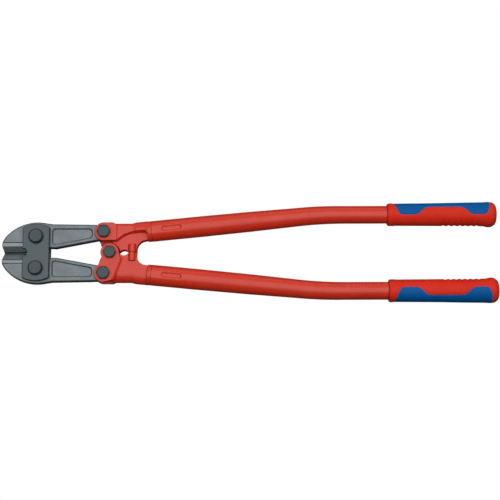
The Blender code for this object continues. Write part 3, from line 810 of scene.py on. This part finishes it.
def make_bolt(name, node, body, centre, head_rows, shank_radius, stud_radius, shank_low, stud_low):
    """The head first from its face down, then the shank and the threaded stud."""
    under_head = head_rows[0][0]
    rows = list(reversed(head_rows))
    rows += [(under_head, shank_radius), (shank_low, shank_radius), (shank_low, stud_radius)]
    rows += stud_rows(stud_radius, shank_low - THREAD_GAP, stud_low)
    piece = skin(name, polar_rows(centre, rows))
    return finish_piece(piece, "bolt", node, body, 28)


def make_nut(name, node, body, centre, outer_rows, bore):
    """An outer shape, and a plain bore that its stud fills."""
    low, high = outer_rows[0][0], outer_rows[-1][0]
    rows = outer_rows + [(high, bore + 0.5), (high - 0.5, bore), (low + 0.5, bore), (low, bore + 0.5)]
    piece = skin(name, polar_rows(centre, rows), closed_loop=True)
    return finish_piece(piece, "bolt", node, body, 28)


def round_head_rows(low, high):
    """A low cheese head: straight side, wide chamfer and a slightly dished face."""
    side, face = LINK_HEAD_RADIUS, LINK_FACE_RADIUS
    return [
        (low, side - 0.4), (low + 0.4, side), (high - 1.5, side),
        (high - 1.2, side - 0.1), (high - 0.25, face + 0.25), (high, face - 0.15),
        (high - 0.12, face - 1.1), (high - 0.22, face - 3.5), (high - 0.25, 2.0),
    ]


def round_nut_rows(low, high):
    """A plain round nut with a wide chamfer on its rear face."""
    side = LINK_HEAD_RADIUS
    return [(low, side - 1.1), (low + 1.1, side), (high - 0.3, side), (high, side - 0.3)]


def mirrored_rows(rows):
    """Rows of a piece on the rear, from a front piece's rows."""
    return [(-z, radius) for z, radius in reversed(rows)]


def make_link_bolts():
    """The two round-headed bolts that join the straps, with their nuts."""
    seat = PLATE_OUTER + WASHER_GAP
    for side, sign in SIDE_SIGNS.items():
        centre = (LINK_BOLT[0], sign * LINK_BOLT[1])
        make_bolt(
            f"{side}_link_bolt_turned", f"{side}_link_bolt", "link_plates", centre,
            round_head_rows(seat, LINK_HEAD_TOP), LINK_SHANK_RADIUS, LINK_STUD_RADIUS,
            -PLATE_OUTER, LINK_STUD_END,
        )
        make_nut(
            f"{side}_link_nut_turned", f"{side}_link_nut", "link_plates", centre,
            round_nut_rows(-MID_HEIGHT, -seat), LINK_STUD_RADIUS + THREAD_GAP,
        )


def make_handle_bolts():
    """The hexagon bolts of the two jaw tails and of the handles' pivot, with their nuts."""
    seat = EAR_OUTER + WASHER_GAP
    bolts = (
        ("upper_tail", "upper_handle", TAIL_BOLT, TAIL_ACROSS_FLATS),
        ("lower_tail", "lower_handle", (TAIL_BOLT[0], -TAIL_BOLT[1]), TAIL_ACROSS_FLATS),
        ("pivot", "lower_handle", PIVOT, PIVOT_ACROSS_FLATS),
    )
    for name, body, centre, across_flats in bolts:
        head = chamfered_hexagon(across_flats, seat, HEX_HEAD_TOP)
        make_bolt(
            f"{name}_bolt_forged", f"{name}_bolt", body, centre, head,
            HEX_SHANK_RADIUS, HEX_STUD_RADIUS, -EAR_OUTER, HEX_STUD_END,
        )
        make_nut(
            f"{name}_nut_forged", f"{name}_nut", body, centre,
            mirrored_rows(head), HEX_STUD_RADIUS + THREAD_GAP,
        )


# ---------------------------------------------------------------- handle tubes
def tube_centre_y(x):
    """A straight run that bends gently until it is parallel to the tool's axis."""
    x = np.asarray(x, float)
    slope = (TUBE_END_Y - TUBE_START_Y) / ((TUBE_STRAIGHT_END_X + TUBE_BEND_END_X) / 2 - TUBE_START_X)
    left = np.clip(TUBE_BEND_END_X - x, 0, TUBE_BEND_END_X - TUBE_STRAIGHT_END_X)
    straight = TUBE_START_Y + slope * (np.minimum(x, TUBE_STRAIGHT_END_X) - TUBE_START_X)
    bent = TUBE_END_Y - slope * left ** 2 / (2 * (TUBE_BEND_END_X - TUBE_STRAIGHT_END_X))
    return np.where(x < TUBE_STRAIGHT_END_X, straight, bent)


def tube_rings(xs, radii, around):
    """Rings across the handle's centreline; radii has one row per place and one value per angle."""
    angles = turns_of(around)
    slope = np.arctan2(tube_centre_y(xs + 0.5) - tube_centre_y(xs - 0.5), 1.0)[:, None]
    across = radii * np.cos(angles)
    x = xs[:, None] - across * np.sin(slope)
    y = tube_centre_y(xs)[:, None] + across * np.cos(slope)
    return np.stack([x, y, radii * np.sin(angles)], axis=-1)


def soft_step(value, low, high):
    """Rises gently from 0 at low to 1 at high."""
    share = np.clip((value - low) / (high - low), 0, 1)
    return share * share * (3 - 2 * share)


def crimp_depth(xs, angles, radius):
    """How far the crimp dimples press in, on the front and the rear of the tube."""
    sideways = np.abs(np.cos(angles))[None, :] * radius[:, None]
    along = np.abs(xs - DIMPLE_X)[:, None] - (DIMPLE_HALF_LENGTH - DIMPLE_HALF_WIDTH)
    reach = np.hypot(np.maximum(along, 0), sideways)
    return DIMPLE_DEPTH * (1 - soft_step(reach, DIMPLE_HALF_WIDTH - 2.0, DIMPLE_HALF_WIDTH + 0.3))


def make_tubes():
    """Each tube is pressed flatter at its crimp, dimpled there, and hollow."""
    angles = turns_of(TUBE_AROUND)
    start, bend_start = TUBE_START_X, TUBE_STRAIGHT_END_X - 8
    xs = np.concatenate([
        [start, start + 0.25, start + 0.8], np.arange(start + 2, -137, 3), np.arange(-137, -100, 0.8),
        np.arange(-100, bend_start, 8.0), np.arange(bend_start, 152, 4.0), [170.0, 205.0, TUBE_END_X],
    ])
    radius = np.interp(xs, *zip(*TUBE_RADII))
    inside = (radius - TUBE_WALL)[::-1, None] * np.ones(TUBE_AROUND)
    radius[0] -= 0.3
    radius[1] -= 0.08
    outside = radius[:, None] - crimp_depth(xs, angles, radius)
    flat = CRIMP_HALF_HEIGHT + CRIMP_RELEASE * soft_step(xs, CRIMP_RELEASE_START_X, CRIMP_RELEASE_END_X)
    outside = np.minimum(outside, flat[:, None] / np.maximum(np.abs(np.sin(angles)), 0.5))
    rows = np.concatenate([tube_rings(xs, outside, TUBE_AROUND), tube_rings(xs[::-1], inside, TUBE_AROUND)])
    upper = skin("upper_handle_tube_painted", rows, closed_loop=True)
    lower = turned_over(upper, "lower_handle_tube_painted")
    finish_piece(upper, "paint", "upper_handle_tube", "upper_handle", 50)
    finish_piece(lower, "paint", "lower_handle_tube", "lower_handle", 50)


# ---------------------------------------------------------------- handle heads
def make_heads():
    """The painted forging at the end of each handle."""
    upper = forged_blank("upper_handle_head_forging", "upper_handle_head", FORGING_VOXEL, HEAD_SOFTENING)
    lower = turned_over(upper, "lower_handle_head_forging")
    finish_piece(upper, "paint", "upper_handle_head", "upper_handle", 180)
    finish_piece(lower, "paint", "lower_handle_head", "lower_handle", 180)


# ---------------------------------------------------------------- grips
def insert_edge_distance(x, y):
    """Distance from the insert's edge, seen from the front, at places relative to the grip's axis."""
    outline = np.array(rounded(INSERT_CORNERS))
    nearest = np.full(np.broadcast(x, y).shape, np.inf)
    for (ax, ay), (bx, by) in zip(outline[:-1], outline[1:]):
        run, rise = bx - ax, by - ay
        share = np.clip(((x - ax) * run + (y - ay) * rise) / (run * run + rise * rise + 1e-9), 0, 1)
        nearest = np.minimum(nearest, np.hypot(x - ax - share * run, y - ay - share * rise))
    return nearest


def grip_surface(xs, around):
    """The grip's outside: its profile, grooves for the fingers, a flared butt and a seam at the insert."""
    angles = turns_of(around)
    radius = np.interp(xs, *zip(*GRIP_PROFILE))[:, None] * np.ones(around)
    inward = np.clip(-np.cos(angles), 0, 1)[None, :]
    grooves = np.zeros(len(xs))
    for finger in range(FINGER_COUNT):
        aside = np.abs(xs - FINGER_FIRST_X - finger * FINGER_PITCH)
        grooves = np.maximum(grooves, 1 - soft_step(aside, FINGER_FLAT, FINGER_HALF_WIDTH))
    radius -= FINGER_DEPTH * grooves[:, None] * soft_step(inward, 0.45, 0.8)
    butt = soft_step(xs, *BUTT_RISE) * (1 - soft_step(xs, *BUTT_FALL))
    radius += BUTT_FLARE * butt[:, None] * inward ** 2
    swell = soft_step(xs, *OUTER_RISE) * (1 - soft_step(xs, *OUTER_FALL))
    radius += OUTER_FLARE * swell[:, None] * np.clip(np.cos(angles), 0, 1)[None, :] ** 2
    edge = insert_edge_distance(xs[:, None], radius * np.cos(angles)[None, :])
    radius -= SEAM_GROOVE_DEPTH * np.exp(-(edge / SEAM_GROOVE_HALF_WIDTH) ** 2)
    return radius


def grip_blank(name, bored):
    """A whole grip before its insert is parted from it; the bore takes the tube."""
    around = 176
    step = 0.75
    fine_ends = [x for x, _ in GRIP_PROFILE if x < 225 or x > 360]
    evenly, closely = np.arange(225, 366, step), np.arange(366, 380, 0.5)
    xs = np.unique(np.round(np.concatenate([evenly, closely, fine_ends]), 3))
    rows = tube_rings(xs, grip_surface(xs, around), around)
    rows[..., 2] = np.clip(rows[..., 2], -MID_HEIGHT, MID_HEIGHT)
    if bored:
        bore_xs = np.array([GRIP_BORE_END_X, 300.0, GRIP_START_X])
        bore = tube_rings(bore_xs, np.full((3, around), GRIP_BORE_RADIUS), around)
        rows = np.concatenate([bore, rows])
    return skin(name, rows)


def insert_zone(name, shift):
    """Everything of the grip that is within the insert's outline, seen from the front."""
    outline = [(x, y + TUBE_END_Y + shift) for x, y in rounded(INSERT_CORNERS)]
    return prism(name, outline, -30, 30)


def bar_inside_grip(name, radius):
    """A round bar along the grip's axis, longer than the grip."""
    xs = np.array([GRIP_START_X - 7, GRIP_END_X + 5])
    return skin(name, tube_rings(xs, np.full((2, TUBE_AROUND), radius), TUBE_AROUND))


def make_grips():
    """A hard core with a pocket, and a soft insert that fills the pocket up to a narrow seam."""
    pocket = insert_zone("pocket", -SEAM_GAP)
    core = grip_blank("upper_grip_core_moulded", bored=True)
    combine(pocket, bar_inside_grip("pocket_floor", INSERT_FLOOR - SEAM_GAP), "DIFFERENCE")
    combine(core, pocket, "DIFFERENCE")
    insert = grip_blank("upper_grip_insert_moulded", bored=False)
    combine(insert, insert_zone("zone", 0.0), "INTERSECT")
    combine(insert, bar_inside_grip("insert_floor", INSERT_FLOOR), "DIFFERENCE")
    for piece, kind, finish, slot in (
        (core, "core", "grip_red", "red_plastic"), (insert, "insert", "grip_blue", "blue_rubber"),
    ):
        piece.data.materials.clear()
        lower = turned_over(piece, f"lower_grip_{kind}_moulded")
        finish_piece(piece, finish, f"upper_grip_{kind}", "upper_handle", 35)
        finish_piece(lower, finish, f"lower_grip_{kind}", "lower_handle", 35)


# ---------------------------------------------------------------- stage, light and camera
def make_floor():
    """A plain white table that looks evenly lit, and throws little light back up."""
    shape = bmesh.new()
    bmesh.ops.create_grid(shape, x_segments=2, y_segments=2, size=6.0)
    floor = object_of("floor", shape)
    made = bpy.data.materials.new("white_table")
    made.use_nodes = True
    tree = made.node_tree
    tree.nodes.remove(tree.nodes["Principled BSDF"])
    matte = tree.nodes.new("ShaderNodeBsdfDiffuse")
    matte.inputs["Color"].default_value = (0.05, 0.05, 0.05, 1)
    pale = tree.nodes.new("ShaderNodeEmission")
    pale.inputs["Strength"].default_value = 1.0
    seen = tree.nodes.new("ShaderNodeLightPath").outputs["Is Camera Ray"]
    mix = tree.nodes.new("ShaderNodeMixShader")
    tree.links.new(seen, mix.inputs["Fac"])
    tree.links.new(matte.outputs["BSDF"], mix.inputs[1])
    tree.links.new(pale.outputs["Emission"], mix.inputs[2])
    tree.links.new(mix.outputs["Shader"], tree.nodes["Material Output"].inputs["Surface"])
    floor.data.materials.append(made)


def area_light(name, place, target, width, length, power):
    """A rectangular light of a size in metres and a power in watts, facing a target."""
    lamp = bpy.data.lights.new(name, "AREA")
    lamp.shape = "RECTANGLE"
    lamp.size, lamp.size_y = width, length
    lamp.energy = power
    holder = bpy.data.objects.new(name, lamp)
    bpy.context.scene.collection.objects.link(holder)
    holder.location = place
    direction = Vector(target) - Vector(place)
    holder.rotation_euler = direction.to_track_quat("-Z", "Y").to_euler()


def make_lights():
    """A large softbox overhead, a low strip behind, and a faint cool sky."""
    tool = (0, 0, 0.02)
    area_light("overhead_softbox", (0.0, 0.25, 3.0), tool, width=5.5, length=3.8, power=142)
    area_light("rear_strip", (0.0, 2.4, 0.8), tool, width=4.5, length=1.2, power=20)
    world = bpy.data.worlds.new("studio")
    bpy.context.scene.world = world
    world.use_nodes = True
    sky = world.node_tree.nodes["Background"]
    sky.inputs["Color"].default_value = (0.9, 0.95, 1.0, 1)
    sky.inputs["Strength"].default_value = 0.05
    bpy.context.scene.view_settings.view_transform = "Standard"


def make_camera():
    """Looks down on the tool, from slightly towards the lower handle's side."""
    camera = bpy.data.cameras.new("camera")
    camera.lens = CAMERA_LENS
    camera.sensor_width = CAMERA_SENSOR
    holder = bpy.data.objects.new("camera", camera)
    bpy.context.scene.collection.objects.link(holder)
    back = Vector((0, -sin(CAMERA_TILT), cos(CAMERA_TILT)))
    holder.location = at(*CAMERA_TARGET) + back * CAMERA_DISTANCE
    aim = Matrix.Rotation(CAMERA_TILT, 3, "X") @ Matrix.Rotation(CAMERA_ROLL, 3, "Z")
    holder.rotation_euler = aim.to_euler()
    bpy.context.scene.camera = holder


make_camera()
make_lights()
make_floor()
make_jaws()
make_link_plates()
make_link_bolts()
make_handle_bolts()
make_heads()
make_tubes()
make_grips()
